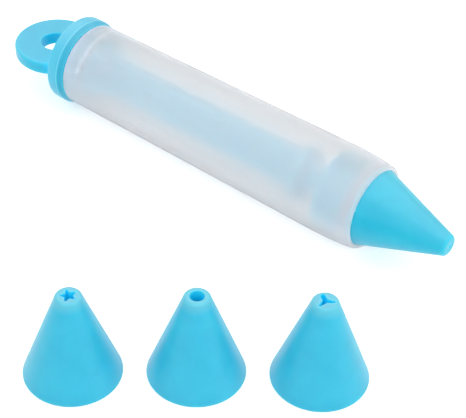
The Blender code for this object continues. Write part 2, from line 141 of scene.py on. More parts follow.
def mix_colour(tree, factor, first, second):
    """Mixes two colours."""
    node = add_node(tree, "ShaderNodeMix", {"Factor": factor}, data_type="RGBA")
    for name, colour in (("A", first), ("B", second)):
        socket = next(s for s in node.inputs if s.name == name and s.type == "RGBA")
        if isinstance(colour, bpy.types.NodeSocket):
            tree.links.new(colour, socket)
        else:
            socket.default_value = colour
    return next(s for s in node.outputs if s.type == "RGBA")


def new_group(name, inputs, outputs):
    """Starts a node group; inputs are names with their usual values, outputs are names."""
    group = bpy.data.node_groups.new(name, "ShaderNodeTree")
    for label, value in inputs.items():
        socket = group.interface.new_socket(label, in_out="INPUT", socket_type="NodeSocketFloat")
        socket.default_value = value
    for label in outputs:
        group.interface.new_socket(label, in_out="OUTPUT", socket_type="NodeSocketFloat")
    start = group.nodes.new("NodeGroupInput")
    end = group.nodes.new("NodeGroupOutput")
    return group, start, end


def new_material(name):
    """A new material, its node tree and its Principled shader."""
    material = bpy.data.materials.new(name)
    material.use_nodes = True
    print("material", name)
    return material, material.node_tree, material.node_tree.nodes["Principled BSDF"]


def set_values(shader, values):
    """Sets plain values on the shader's own sockets."""
    for name, value in values.items():
        shader.inputs[name].default_value = value


def own_place(tree):
    """The place on the piece itself, so that a pattern moves with its piece."""
    return add_node(tree, "ShaderNodeTexCoord").outputs["Object"]


def z_part(tree, vector):
    """The part of a vector along Z."""
    return add_node(tree, "ShaderNodeSeparateXYZ", {"Vector": vector}).outputs["Z"]


# %% [markdown]
# Silicone comes out of its mould with a skin: a very fine grain from the sparked steel, long soft
# ripples where it shrank, and a slightly uneven depth of colour. All soft pieces and the stiff rod share
# this effect, so it is one node group. Three noises of unlike size do it. A photograph of a real
# surface would also work, but noise has no edges and needs no unwrapping.

# %% The moulded skin
NOISE_DETAILS = {"Grain Scale": 3.0, "Ripple Scale": 1.0, "Cloud Scale": 4.0}
CLOUD_DISTORTION = 0.6
CLOUD_LIMITS = (0.32, 0.68)
GRAIN_SHARE = 0.3
RIPPLE_SHARE = 0.7


def make_moulded_skin():
    """Grain and ripples as a height, and cloudy patches as a mask."""
    usual = {"Grain Scale": 5000.0, "Ripple Scale": 260.0, "Cloud Scale": 110.0}
    group, start, end = new_group("moulded_skin", usual, ("Height", "Clouds"))
    place = own_place(group)
    noises = []
    for label, detail in NOISE_DETAILS.items():
        inputs = {"Vector": place, "Scale": start.outputs[label], "Detail": detail}
        noises.append(add_node(group, "ShaderNodeTexNoise", inputs))
    grain, ripple, cloud = noises
    cloud.inputs["Distortion"].default_value = CLOUD_DISTORTION
    fine = math_node(group, "MULTIPLY", grain.outputs["Fac"], GRAIN_SHARE)
    broad = math_node(group, "MULTIPLY", ripple.outputs["Fac"], RIPPLE_SHARE)
    group.links.new(math_node(group, "ADD", fine, broad), end.inputs["Height"])
    group.links.new(spread(group, cloud.outputs["Fac"], *CLOUD_LIMITS), end.inputs["Clouds"])
    return group


MOULDED_SKIN = make_moulded_skin()
print("group", MOULDED_SKIN.name, "with", len(MOULDED_SKIN.nodes), "nodes")

# %% [markdown]
# Silicone is slightly tacky, so handling leaves marks: here and there a short rubbed line, and a few
# very fine pale specks of dust. Cells of a Voronoi texture place one speck each, a second random value
# leaves most cells empty, and a noise stretched along one slanting direction gives the rubbed lines.

# %% Dust and rubbed lines
LINE_SLANT = (0.5, 0.3, 0.9)
LINE_STRETCH = (1.0, 1.0, 0.12)
LINE_NOISE = {"Detail": 5.0, "Roughness": 0.75}
LINE_LIMITS = (0.66, 0.72)


def make_dust():
    """Pale specks and short rubbed lines as two masks."""
    usual = {"Speck Scale": 1400.0, "Speck Size": 0.14, "Speck Share": 0.06, "Line Scale": 90.0}
    group, start, end = new_group("dust", usual, ("Specks", "Lines"))
    place = own_place(group)
    cell_inputs = {"Vector": place, "Scale": start.outputs["Speck Scale"]}
    cells = add_node(group, "ShaderNodeTexVoronoi", cell_inputs)
    near = math_node(group, "LESS_THAN", cells.outputs["Distance"], start.outputs["Speck Size"])
    pick = add_node(group, "ShaderNodeSeparateColor", {"Color": cells.outputs["Color"]})
    chosen = math_node(group, "LESS_THAN", pick.outputs["Red"], start.outputs["Speck Share"])
    group.links.new(math_node(group, "MULTIPLY", near, chosen), end.inputs["Specks"])
    slant = {"Vector": place, "Rotation": LINE_SLANT, "Scale": LINE_STRETCH}
    line_place = add_node(group, "ShaderNodeMapping", slant).outputs["Vector"]
    line_inputs = {"Vector": line_place, "Scale": start.outputs["Line Scale"], **LINE_NOISE}
    lines = add_node(group, "ShaderNodeTexNoise", line_inputs)
    group.links.new(spread(group, lines.outputs["Fac"], *LINE_LIMITS), end.inputs["Lines"])
    return group


DUST = make_dust()
print("group", DUST.name, "with", len(DUST.nodes), "nodes")

# %% [markdown]
# Two places on a see-through rubber are given painted light. A hole is painted a lighter deep cyan with a
# weak painted glow, standing in for light that comes through the rubber, and an edge is painted pale, a
# painted highlight. Ambient occlusion finds both: rays shot outwards tell how far a place is
# closed in, and rays shot inwards tell how near the far side is. Painting vertices would work for one
# shape, but this mask follows any shape by itself.

# %% Nooks and edges
RAY_SETTINGS = {"only_local": True, "samples": 4}
EDGE_LIMITS = (0.08, 0.5)


def make_nooks_and_edges():
    """A mask that is 1 where the piece closes itself in, and one that is 1 along outer edges."""
    usual = {"Nook Reach": 0.006, "Nook Start": 0.2, "Nook Full": 0.6, "Edge Reach": 0.0007}
    group, start, end = new_group("nooks_and_edges", usual, ("Nooks", "Edges"))
    outwards = {"Distance": start.outputs["Nook Reach"]}
    inwards = {"Distance": start.outputs["Edge Reach"]}
    nook = add_node(group, "ShaderNodeAmbientOcclusion", outwards, **RAY_SETTINGS)
    edge = add_node(group, "ShaderNodeAmbientOcclusion", inwards, inside=True, **RAY_SETTINGS)
    closed = math_node(group, "SUBTRACT", 1.0, nook.outputs["AO"])
    thin = math_node(group, "SUBTRACT", 1.0, edge.outputs["AO"])
    nooks = spread(group, closed, start.outputs["Nook Start"], start.outputs["Nook Full"])
    group.links.new(nooks, end.inputs["Nooks"])
    group.links.new(spread(group, thin, *EDGE_LIMITS), end.inputs["Edges"])
    return group


NOOKS_AND_EDGES = make_nooks_and_edges()
print("group", NOOKS_AND_EDGES.name, "with", len(NOOKS_AND_EDGES.nodes), "nodes")

# %% [markdown]
# The blue silicone of the nozzles, the tail cap and the piston is a satin, slightly see-through rubber.
# Its sheen is soft and pale where it faces up, and its shadows stay a clear blue, because light
# wanders through the rubber and comes out again. A Principled shader does this with a mid roughness and
# strong scattering below the surface, which carries green and blue much further than red. A little
# velvet sheen stands for the powdery skin. The fitted nozzle and the piston get lit copies of the blue,
# painted lighter. A spare nozzle's tip is painted paler, a painted sheen, so a list of tones moves the
# colour step by step along the piece's own axis.

# %% Blue silicone
# The fitted nozzle's and the piston's blues are lit copies of the spare blue, painted lighter.
SPARE_BLUES = ((0.020, 0.482, 0.690, 1.0), (0.030, 0.527, 0.735, 1.0))
FITTED_LIT_BLUES = ((0.010, 0.512, 0.700, 1.0), (0.018, 0.557, 0.745, 1.0))
PISTON_LIT_BLUES = ((0.005, 0.570, 0.770, 1.0), (0.010, 0.610, 0.810, 1.0))
# Painted sheen: the spare nozzles' tips are painted paler.
TIP_PAINTED_SHEEN = (0.0248, 0.0270, (0.24, 0.58, 0.64, 1.0), 0.35)
# Painted light: a lighter cyan and a weak glow in holes, and a pale painted highlight on edges.
NOOK_PAINTED_CYAN = (0.001, 0.63, 0.84, 1.0)
NOOK_GLOW = (0.0, 0.085, 0.165, 1.0)
EDGE_PAINTED_HIGHLIGHT = (0.16, 0.74, 0.90, 1.0)
EDGE_SHARE = 0.5
DUST_COLOUR = (0.55, 0.80, 0.90, 1.0)
SPECK_SHARE = 0.12
LINE_SHARE = 0.22
SILICONE_ROUGHNESS = (0.36, 0.44)
SILICONE_BUMP = 0.5
SILICONE_VALUES = {
    "IOR": 1.41,
    "Metallic": 0.0,
    "Subsurface Weight": 0.9,
    "Subsurface Radius": (0.1, 0.5, 0.35),
    "Subsurface Scale": 0.006,
    "Sheen Weight": 0.12,
    "Sheen Roughness": 0.5,
}
GRAIN_DEPTH = 0.00004


def skin_bump(tree, shader, skin, strength):
    """Feeds the moulded skin's height to the shader as a bump."""
    inputs = {"Height": skin.outputs["Height"], "Strength": strength, "Distance": GRAIN_DEPTH}
    bump = add_node(tree, "ShaderNodeBump", inputs)
    tree.links.new(bump.outputs["Normal"], shader.inputs["Normal"])


def rough_between(tree, shader, mask, low, high):
    """Lets the roughness run from low to high with a mask."""
    tree.links.new(spread(tree, mask, least=low, most=high), shader.inputs["Roughness"])


def glow_where(tree, shader, mask, colour):
    """Lets the surface shine weakly where a mask is 1, as if light came out of it."""
    tree.links.new(mix_colour(tree, mask, BLACK, colour), shader.inputs["Emission Color"])
    shader.inputs["Emission Strength"].default_value = 1.0


def tone_along(tree, body, tones):
    """Moves a colour along local Z; a tone is where it starts, where it is full, its colour and its share."""
    height = z_part(tree, own_place(tree))
    for start, full, colour, share in tones:
        mask = math_node(tree, "MULTIPLY", spread(tree, height, start, full), share)
        body = mix_colour(tree, mask, body, colour)
    return body


def blue_silicone(name, blues, cloud_scale, nook_reach, nook_full=0.6, tones=()):
    """A satin blue silicone rubber."""
    material, tree, shader = new_material(name)
    skin = add_node(tree, "ShaderNodeGroup", {"Cloud Scale": cloud_scale}, node_tree=MOULDED_SKIN)
    dust = add_node(tree, "ShaderNodeGroup", node_tree=DUST)
    body = tone_along(tree, mix_colour(tree, skin.outputs["Clouds"], *blues), tones)
    limits = {"Nook Reach": nook_reach, "Nook Full": nook_full}
    places = add_node(tree, "ShaderNodeGroup", limits, node_tree=NOOKS_AND_EDGES)
    # Painted highlight: outer edges are painted pale.
    edges = math_node(tree, "MULTIPLY", places.outputs["Edges"], EDGE_SHARE)
    body = mix_colour(tree, edges, body, EDGE_PAINTED_HIGHLIGHT)
    specks = math_node(tree, "MULTIPLY", dust.outputs["Specks"], SPECK_SHARE)
    lines = math_node(tree, "MULTIPLY", dust.outputs["Lines"], LINE_SHARE)
    marked = mix_colour(tree, math_node(tree, "MAXIMUM", specks, lines), body, DUST_COLOUR)
    # Painted light in holes: a lighter cyan and a weak painted glow where the piece closes itself in.
    nooks = places.outputs["Nooks"]
    tree.links.new(mix_colour(tree, nooks, marked, NOOK_PAINTED_CYAN), shader.inputs["Base Color"])
    glow_where(tree, shader, nooks, NOOK_GLOW)
    rough_between(tree, shader, skin.outputs["Clouds"], *SILICONE_ROUGHNESS)
    skin_bump(tree, shader, skin, SILICONE_BUMP)
    set_values(shader, SILICONE_VALUES)
    return material


CONE_SCALES = {"cloud_scale": 110.0, "nook_reach": 0.006}
SPARE_SILICONE = blue_silicone("spare_silicone", SPARE_BLUES, tones=(TIP_PAINTED_SHEEN,), **CONE_SCALES)
FITTED_SILICONE = blue_silicone("fitted_silicone", FITTED_LIT_BLUES, **CONE_SCALES)
PISTON_SILICONE = blue_silicone("piston_silicone", PISTON_LIT_BLUES, cloud_scale=150.0, nook_reach=0.004)

# %% [markdown]
# The rod is a stiff moulding in blue, glossier than the rubber pieces, with flow lines along its length where
# the melt ran. Its blue is painted lighter than the rubber's, a lit copy standing in for the light inside the
# barrel. Long thin noise, stretched along the rod, gives the lines.

# %% Blue plastic of the rod
# Painted light: the rod's blues are painted lighter, standing in for the light inside the barrel.
ROD_LIT_BLUE = (0.01, 0.60, 0.82, 1.0)
ROD_LIT_PALE = (0.02, 0.64, 0.86, 1.0)
STREAK_STRETCH = (1.0, 1.0, 0.06)
STREAK_NOISE = {"Scale": 700.0, "Detail": 2.0}
STREAK_LIMITS = (0.35, 0.65)
ROD_ROUGHNESS = (0.28, 0.38)
ROD_BUMP = 0.3


def rod_plastic():
    """A satin polypropylene with faint flow lines."""
    material, tree, shader = new_material("rod_plastic")
    skin = add_node(tree, "ShaderNodeGroup", node_tree=MOULDED_SKIN)
    along = add_node(tree, "ShaderNodeMapping", {"Vector": own_place(tree), "Scale": STREAK_STRETCH})
    flow = add_node(tree, "ShaderNodeTexNoise", {"Vector": along.outputs["Vector"], **STREAK_NOISE})
    streaks = spread(tree, flow.outputs["Fac"], *STREAK_LIMITS)
    tree.links.new(mix_colour(tree, streaks, ROD_LIT_BLUE, ROD_LIT_PALE), shader.inputs["Base Color"])
    rough_between(tree, shader, streaks, *ROD_ROUGHNESS)
    skin_bump(tree, shader, skin, ROD_BUMP)
    set_values(shader, {"Metallic": 0.0})
    return material


ROD_PLASTIC = rod_plastic()

# %% [markdown]
# The barrel is clear silicone with a frosted skin. Light goes through it but is scattered on the
# way, so what lies against the wall shows softly and what lies deeper melts into a haze. Rough
# transmission does that with real refraction at both faces of the wall. The rest of the surface
# is a milky white, and the share between the two is the haze. The frosted skin has hardly any
# sheen of its own, so its specular level is low, and so is the bending of light, because a milky
# wall scatters light before it can mirror it. What faces straight up is painted slightly greyer, a painted
# shade. A weak painted glow lights the thin edges and a ring at the mouth, and a painted glint runs round
# the upper side of the rear rim and of the tail cap plug's front edge, where it presses on the wall.

# %% Frosted silicone of the barrel
FROST_COLOUR = (0.970, 0.960, 0.972, 1.0)
FROST_CLOUD = (0.975, 0.965, 0.978, 1.0)
# Painted shade: the grey for surfaces that face straight up.
FROST_PAINTED_SHADE = (0.870, 0.865, 0.868, 1.0)
FROST_CLOUD_SCALE = 60.0
FROST_ROUGHNESS = (0.50, 0.56)
FROST_BUMP = 0.35
FROST_VALUES = {"IOR": 1.25, "Metallic": 0.0, "Transmission Weight": 0.70, "Specular IOR Level": 0.05}
TOP_SHADE_LIMITS = (0.88, 0.99)
# Painted light: a weak glow on thin edges and a ring at the mouth, and a painted glint over the rear rim and
# the plug's front edge.
RIM_GLOW = (0.20, 0.13, 0.15, 1.0)
RIM_REACH = 0.0005
EDGE_GLOW_SHARE = 0.15
REAR_RIM_BAND = (0.0008, 0.0006, 0.6)
PLUG_EDGE_BAND = (0.0054, 0.0008, 0.6)
MOUTH_BAND = (0.1092, 0.0020, 0.3)
LIT_LIMITS = (0.2, 0.6)


def facing_up(tree, start, full):
    """A mask that is 1 where the surface faces straight up."""
    normal = add_node(tree, "ShaderNodeNewGeometry").outputs["Normal"]
    return spread(tree, z_part(tree, normal), start, full)


def glow_band(tree, station, middle, half_width, share):
    """A mask that has its full share on one ring round the axis and fades out on both sides."""
    rise = spread(tree, station, middle - half_width, middle)
    fall = spread(tree, station, middle + half_width, middle)
    return math_node(tree, "MULTIPLY", math_node(tree, "MULTIPLY", rise, fall), share)


def frosted_silicone():
    """A milky, see-through silicone rubber."""
    material, tree, shader = new_material("frosted_silicone")
    skin = add_node(tree, "ShaderNodeGroup", {"Cloud Scale": FROST_CLOUD_SCALE}, node_tree=MOULDED_SKIN)
    colour = mix_colour(tree, skin.outputs["Clouds"], FROST_COLOUR, FROST_CLOUD)
    # Painted shade: surfaces that face straight up are painted greyer.
    shaded_top = mix_colour(tree, facing_up(tree, *TOP_SHADE_LIMITS), colour, FROST_PAINTED_SHADE)
    tree.links.new(shaded_top, shader.inputs["Base Color"])
    rough_between(tree, shader, skin.outputs["Clouds"], *FROST_ROUGHNESS)
    skin_bump(tree, shader, skin, FROST_BUMP)
    places = add_node(tree, "ShaderNodeGroup", {"Edge Reach": RIM_REACH}, node_tree=NOOKS_AND_EDGES)
    station = z_part(tree, own_place(tree))
    bands = (REAR_RIM_BAND, PLUG_EDGE_BAND, MOUTH_BAND)
    rear, plug, mouth = (glow_band(tree, station, *band) for band in bands)
    upper = math_node(tree, "MAXIMUM", rear, plug)
    # Painted glint on the upper side of the rear rim and of the plug's front edge.
    lit = math_node(tree, "MULTIPLY", upper, facing_up(tree, *LIT_LIMITS))
    edges = math_node(tree, "MULTIPLY", places.outputs["Edges"], EDGE_GLOW_SHARE)
    rims = math_node(tree, "MAXIMUM", math_node(tree, "MAXIMUM", edges, mouth), lit)
    glow_where(tree, shader, rims, RIM_GLOW)
    set_values(shader, FROST_VALUES)
    return material


FROSTED_SILICONE = frosted_silicone()

# %% [markdown]
# Every piece here is a moulding, and a moulding is easiest to make as a skin over rings of points. A turned
# piece has round rings, a rib has rounded rectangles, and a nozzle's rings change from a star in the
# hole to a circle outside. Blender's Screw modifier would turn a profile too, but can't change the
# ring's shape on the way, so one short function that joins ring to ring serves them all.

# %% Helpers for the meshes
ARC_STEPS = 6
ROUND_STEPS = 144
SHARP_ANGLE = math.radians(40)


def arc(centre, size, start, end, steps=ARC_STEPS):
    """Points along part of a circle, or of an ellipse if size is a pair of radii; angles are in degrees."""
    across, along = size if isinstance(size, tuple) else (size, size)
    points = []
    for step in range(steps + 1):
        angle = math.radians(start + (end - start) * step / steps)
        points.append((centre[0] + across * math.cos(angle), centre[1] + along * math.sin(angle)))
    return points


def circle(radius, height, count=ROUND_STEPS, start=0.0):
    """A ring of points round local Z, or a single point where the radius is zero."""
    if radius == 0:
        return [Vector((0, 0, height))]
    turns = [start + math.tau * index / count for index in range(count)]
    return [Vector((radius * math.cos(turn), radius * math.sin(turn), height)) for turn in turns]


def skin_over(name, rings, place, looped=False):
    """Makes a mesh over rings of points; looped joins the last ring to the first."""
    work = bmesh.new()
    rows = [[work.verts.new(point) for point in ring] for ring in rings]
    following = rows[1:] + rows[:1] if looped else rows[1:]
    for lower, upper in zip(rows, following):
        count = max(len(lower), len(upper))
        for index in range(count):
            after = index + 1
            corners = [lower[index % len(lower)], lower[after % len(lower)]]
            corners += [upper[after % len(upper)], upper[index % len(upper)]]
            work.faces.new(list(dict.fromkeys(corners)))
    bmesh.ops.recalc_face_normals(work, faces=work.faces)
    mesh = bpy.data.meshes.new(name)
    work.to_mesh(mesh)
    work.free()
    piece = bpy.data.objects.new(name, mesh)
    bpy.context.scene.collection.objects.link(piece)
    piece.matrix_world = place
    return piece


def turned(name, profile, place, looped=False, count=ROUND_STEPS):
    """Turns a profile of (radius, height) points round local Z."""
    return skin_over(name, [circle(*point, count) for point in profile], place, looped)


def join_solids(piece, others):
    """Fuses other solids into a piece with exact Boolean unions, and removes them."""
    for other in others:
        union = piece.modifiers.new(other.name, "BOOLEAN")
        union.operation = "UNION"
        union.solver = "EXACT"
        union.object = other
    bpy.context.view_layer.update()
    graph = bpy.context.evaluated_depsgraph_get()
    mesh = bpy.data.meshes.new_from_object(piece.evaluated_get(graph))
    piece.modifiers.clear()
    piece.data = mesh
    for other in others:
        bpy.data.objects.remove(other)


def dress(piece, node, material):
    """Finishes a piece: smooth shading, its material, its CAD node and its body."""
    piece.data.shade_smooth()
    piece.data.set_sharp_from_angle(angle=SHARP_ANGLE)
    piece.data.materials.clear()
    piece.data.materials.append(material)
    piece.modifiers.new("even_shading", "WEIGHTED_NORMAL").keep_sharp = True
    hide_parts(node)
    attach(piece, frame["nodes"][node]["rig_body"])
    report_fit(piece, node)


def report_fit(piece, node):
    """Prints how far the piece's box is from its node's box, in millimetres."""
    bpy.context.view_layer.update()
    corners = [piece.matrix_world @ vertex.co for vertex in piece.data.vertices]
    low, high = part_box(node)
    gaps = []
    for axis in range(3):
        places = [corner[axis] for corner in corners]
        gaps += [abs(min(places) - low[axis]), abs(max(places) - high[axis])]
    print(f"{piece.name}: {len(piece.data.vertices)} points, box within {max(gaps) * 1000:.3f} mm of {node}")


# %% [markdown]
# All sizes that the pieces share come from the frame. The syringe's own axes have Z along it, from
# the barrel's rear rim towards the mouth, so that a profile is a list of radius and station, as it
# would be on a lathe.

# %% Sizes read from the frame
barrel_low, barrel_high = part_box("barrel")
cap_low, cap_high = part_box("tail_cap")
rod_low, rod_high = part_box("plunger_rod")
piston_low, piston_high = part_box("piston")
fitted_low, fitted_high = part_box("writing_nozzle")

AXIS_Y = (barrel_low.y + barrel_high.y) / 2
AXIS_Z = (barrel_low.z + barrel_high.z) / 2
REAR_RIM = barrel_low.x
SYRINGE = Matrix(((0, 0, 1, REAR_RIM), (1, 0, 0, AXIS_Y), (0, 1, 0, AXIS_Z), (0, 0, 0, 1)))

CLEARANCE = 0.0003
BARREL_LENGTH = barrel_high.x - REAR_RIM
BULGE_RADIUS = (barrel_high.y - barrel_low.y) / 2
SLIDING_RADIUS = (piston_high.y - piston_low.y) / 2
BORE_RADIUS = SLIDING_RADIUS + CLEARANCE
FITTED_BASE = fitted_low.x - REAR_RIM
NOZZLE_LENGTH = fitted_high.x - fitted_low.x
print(f"barrel {BARREL_LENGTH * 1000:.1f} mm long, bore {BORE_RADIUS * 2000:.1f} mm across")

# %% [markdown]
# The nozzles are hollow cones of one size with four different holes. Because every hole outline
# can be seen whole from its middle, one ring can follow it point by point, and the rings outside
# it turn into circles. The skin runs down the outside, round the base, up inside, across the ceiling
# of the hollow and up through the hole to where it began. A Boolean cut would do it too, but leaves
# ragged triangles round the tip and no soft edge on the hole.

# %% Outlines of the holes
OUTLINE_STEPS = 150
ROUND_HOLE_RADIUS = 0.002
WRITING_HOLE_RADIUS = 0.0004
STAR_OUTER_RADIUS = 0.0024
STAR_INNER_RADIUS = 0.00122
STAR_POINTS = 5
STAR_TURN = math.radians(4)
SLOT_REACH = 0.0026
SLOT_WAIST_RADIUS = 0.0008
SLOT_ENDS = (0.0006, 0.0013, 0.0006)
SLOT_TURN = math.radians(28)
SLOT_END_STEPS = 8


def polar(radius, angle):
    """A point in the plane from its distance and direction."""
    return Vector((radius * math.cos(angle), radius * math.sin(angle)))


def star_corners():
    """Corners of the star, alternating between its points and its notches."""
    corners = []
    for index in range(STAR_POINTS * 2):
        radius = STAR_INNER_RADIUS if index % 2 else STAR_OUTER_RADIUS
        corners.append(polar(radius, STAR_TURN + math.pi * index / STAR_POINTS))
    return corners


def slot_corners():
    """The round ends of the three arms, and the notches between them."""
    corners = []
    for index, end in enumerate(SLOT_ENDS):
        angle = SLOT_TURN + math.tau * index / len(SLOT_ENDS)
        middle = polar(SLOT_REACH - end / 2, angle)
        for step in range(SLOT_END_STEPS + 1):
            turn = angle + math.pi * (step / SLOT_END_STEPS - 0.5)
            corners.append(middle + polar(end / 2, turn))
        corners.append(polar(SLOT_WAIST_RADIUS, angle + math.pi / len(SLOT_ENDS)))
    return corners


def walk(corners, count):
    """Points along a closed outline; every corner is kept, and each side gets a fair share of the rest."""
    sides = [(corners[(index + 1) % len(corners)] - corner).length for index, corner in enumerate(corners)]
    spare = count - len(corners)
    shares = [side / sum(sides) * spare for side in sides]
    extra = [int(share) for share in shares]
    order = sorted(range(len(sides)), key=lambda index: extra[index] - shares[index])
    for index in order[: spare - sum(extra)]:
        extra[index] += 1
    points = []
    for index, corner in enumerate(corners):
        onward = corners[(index + 1) % len(corners)] - corner
        pieces = extra[index] + 1
        points += [corner + onward * (step / pieces) for step in range(pieces)]
    return points


def round_outline(radius):
    """A round hole's outline."""
    return [polar(radius, math.tau * index / OUTLINE_STEPS) for index in range(OUTLINE_STEPS)]


def widened(outline, distance):
    """Moves an anticlockwise outline outwards by a distance, square to its own sides."""
    moved = []
    for index, point in enumerate(outline):
        onward = outline[(index + 1) % len(outline)] - outline[index - 1]
        outwards = Vector((onward.y, -onward.x)).normalized()
        moved.append(point + outwards * distance)
    return moved


print("corners of the star:", len(star_corners()), "and of the three-armed slot:", len(slot_corners()))

# %% [markdown]
# One function makes all four nozzles. The tip is well rounded, by an arc that runs on from the cone without
# a kink, and so is the foot. The soft edge of the hole catches the light as a fine pale line, which the
# material strengthens with a painted highlight on edges, and which is what makes a small rubber part look
# moulded. Where an arm of the slot reaches past the flat of the tip, the rim of the hole follows the rounding
# down.

# %% Nozzle maker
NOZZLE_BASE_RADIUS = 0.01363
NOZZLE_WALL = 0.0014
TIP_THICKNESS = 0.004
TIP_ROUNDING = 0.0011
TIP_ARC_STEPS = 10
BASE_ROUNDING = 0.0003
HOLE_ROUNDING = 0.00015
HOLE_ARC_STEPS = 3
HOLE_MARGIN = 0.0001
FLANK_SHARES = (0.25, 0.5, 0.75)


def nozzle_rings(outline, base_radius, tip_radius):
    """Rings of a nozzle, from the rim of its hole over the outside and back through the hollow."""
    start = math.atan2(outline[0].y, outline[0].x)
    slope = (base_radius - tip_radius) / NOZZLE_LENGTH
    lean = math.atan(slope)
    tip_centre = tip_radius + (slope - 1 / math.cos(lean)) * TIP_ROUNDING
    base_centre = base_radius - (slope + 1 / math.cos(lean)) * BASE_ROUNDING

    def on_tip(points, depth):
        ring = []
        for point in points:
            past = max(point.length - tip_centre, 0.0)
            drop = TIP_ROUNDING - math.sqrt(TIP_ROUNDING**2 - past**2)
            ring.append(Vector((point.x, point.y, NOZZLE_LENGTH - drop - depth)))
        return ring

    rings = []
    for step in range(HOLE_ARC_STEPS + 1):
        angle = math.pi / 2 * step / HOLE_ARC_STEPS
        wider = widened(outline, HOLE_ROUNDING * (1 - math.cos(angle)))
        rings.append(on_tip(wider, HOLE_ROUNDING * (1 - math.sin(angle))))
    reach = max(point.length for point in outline) + HOLE_ROUNDING + HOLE_MARGIN
    first = math.degrees(math.acos(max(reach - tip_centre, 0.0) / TIP_ROUNDING))
    last = math.degrees(lean)
    profile = arc((tip_centre, NOZZLE_LENGTH - TIP_ROUNDING), TIP_ROUNDING, first, last, TIP_ARC_STEPS)
    for share in FLANK_SHARES:
        profile.append((tip_radius + (base_radius - tip_radius) * share, NOZZLE_LENGTH * (1 - share)))
    profile += arc((base_centre, BASE_ROUNDING), BASE_ROUNDING, last, -90)
    hollow_top = NOZZLE_LENGTH - TIP_THICKNESS
    hollow_radius = tip_radius + slope * TIP_THICKNESS - NOZZLE_WALL
    profile += [(base_radius - NOZZLE_WALL, 0.0), (hollow_radius, hollow_top)]
    rings += [circle(*point, len(outline), start) for point in profile]
    rings.append([Vector((point.x, point.y, hollow_top)) for point in outline])
    return rings


def make_nozzle(name, node, outline, radii, place, material):
    """Models one nozzle and dresses it."""
    nozzle = skin_over(name, nozzle_rings(outline, *radii), place, looped=True)
    dress(nozzle, node, material)


# %% [markdown]
# The three spares stand on their wide ends in front of the syringe. Their places come from the boxes
# of their nodes.

# %% The three spare nozzles
SPARE_TIP_RADIUS = 0.00345


def make_spare(name, node, outline):
    """A standing nozzle in the place of its node."""
    low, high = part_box(node)
    middle = (low + high) / 2
    place = Matrix.Translation((middle.x, middle.y, low.z))
    make_nozzle(name, node, outline, (NOZZLE_BASE_RADIUS, SPARE_TIP_RADIUS), place, SPARE_SILICONE)


make_spare("star_cone", "star_nozzle", walk(star_corners(), OUTLINE_STEPS))
make_spare("round_cone", "round_nozzle", round_outline(ROUND_HOLE_RADIUS))
make_spare("three_slot_cone", "three_slot_nozzle", walk(slot_corners(), OUTLINE_STEPS))

# %% [markdown]
# The fourth nozzle sits in the barrel's mouth, its wide end held behind the lip. It is the same cone,
# laid along the syringe, with its wide end squeezed by the seat and a fine hole for writing.

# %% The fitted nozzle
SEAT_DEPTH = 0.0006
FITTED_BASE_RADIUS = BORE_RADIUS + SEAT_DEPTH - CLEARANCE
FITTED_TIP_RADIUS = 0.0031
fitted_place = SYRINGE @ Matrix.Translation((0, 0, FITTED_BASE))
fitted_radii = (FITTED_BASE_RADIUS, FITTED_TIP_RADIUS)
fine_hole = round_outline(WRITING_HOLE_RADIUS)
make_nozzle("writing_cone", "writing_nozzle", fine_hole, fitted_radii, fitted_place, FITTED_SILICONE)

# %% [markdown]
# The barrel is one closed profile turned round the syringe's axis: from the mouth over the lip, down
# the slightly bowed outside, round the rear rim and back up the bore to the groove that holds the
# nozzle. Both faces of the wall are there, so light bends into it and out of it again, as in real
# silicone.

# %% Barrel
REAR_WALL = 0.0013
SHOULDER_WALL = 0.00125
BULGE_SETBACK = 0.0133
MOUTH_ROUNDING = 0.0014
LIP_THICKNESS = 0.0009
LIP_FLAT = 0.00015
RIM_ROUNDING = 0.00045
MOUTH_STEPS = 8
BOW_STEPS = 12
LENGTH_STEPS = 8


def fitted_cone_radius(station):
    """Outer radius of the fitted nozzle at a station of the barrel."""
    share = (station - FITTED_BASE) / NOZZLE_LENGTH
    return FITTED_BASE_RADIUS + (FITTED_TIP_RADIUS - FITTED_BASE_RADIUS) * share


def barrel_profile():
    """Outside from the mouth to the rear rim, then the bore back to the mouth."""
    lip_back = BARREL_LENGTH - LIP_THICKNESS
    lip_front_radius = fitted_cone_radius(BARREL_LENGTH) + CLEARANCE
    lip_edge = lip_front_radius + LIP_FLAT
    shoulder_radius = BORE_RADIUS + SHOULDER_WALL
    shoulder = BARREL_LENGTH - MOUTH_ROUNDING
    bulge = BARREL_LENGTH - BULGE_SETBACK
    rear_radius = BORE_RADIUS + REAR_WALL
    seat_radius = BORE_RADIUS + SEAT_DEPTH
    seat_start = FITTED_BASE - CLEARANCE
    points = [(lip_front_radius, BARREL_LENGTH)]
    points += arc((lip_edge, shoulder), (shoulder_radius - lip_edge, MOUTH_ROUNDING), 90, 0, MOUTH_STEPS)
    for step in range(1, BOW_STEPS + 1):
        share = 1 - step / BOW_STEPS
        radius = BULGE_RADIUS - (BULGE_RADIUS - shoulder_radius) * share**2
        points.append((radius, bulge + (shoulder - bulge) * share))
    for step in range(1, LENGTH_STEPS):
        share = step / LENGTH_STEPS
        radius = BULGE_RADIUS + (rear_radius - BULGE_RADIUS) * share
        points.append((radius, bulge + (RIM_ROUNDING - bulge) * share))
    points += arc((rear_radius - RIM_ROUNDING, RIM_ROUNDING), RIM_ROUNDING, 0, -90)
    points += arc((BORE_RADIUS + RIM_ROUNDING, RIM_ROUNDING), RIM_ROUNDING, -90, -180)
    points += [(BORE_RADIUS, seat_start), (seat_radius, seat_start), (seat_radius, lip_back)]
    points.append((fitted_cone_radius(lip_back) + CLEARANCE, lip_back))
    return points


barrel = turned("barrel_tube", barrel_profile(), SYRINGE, looped=True)
dress(barrel, "barrel", FROSTED_SILICONE)
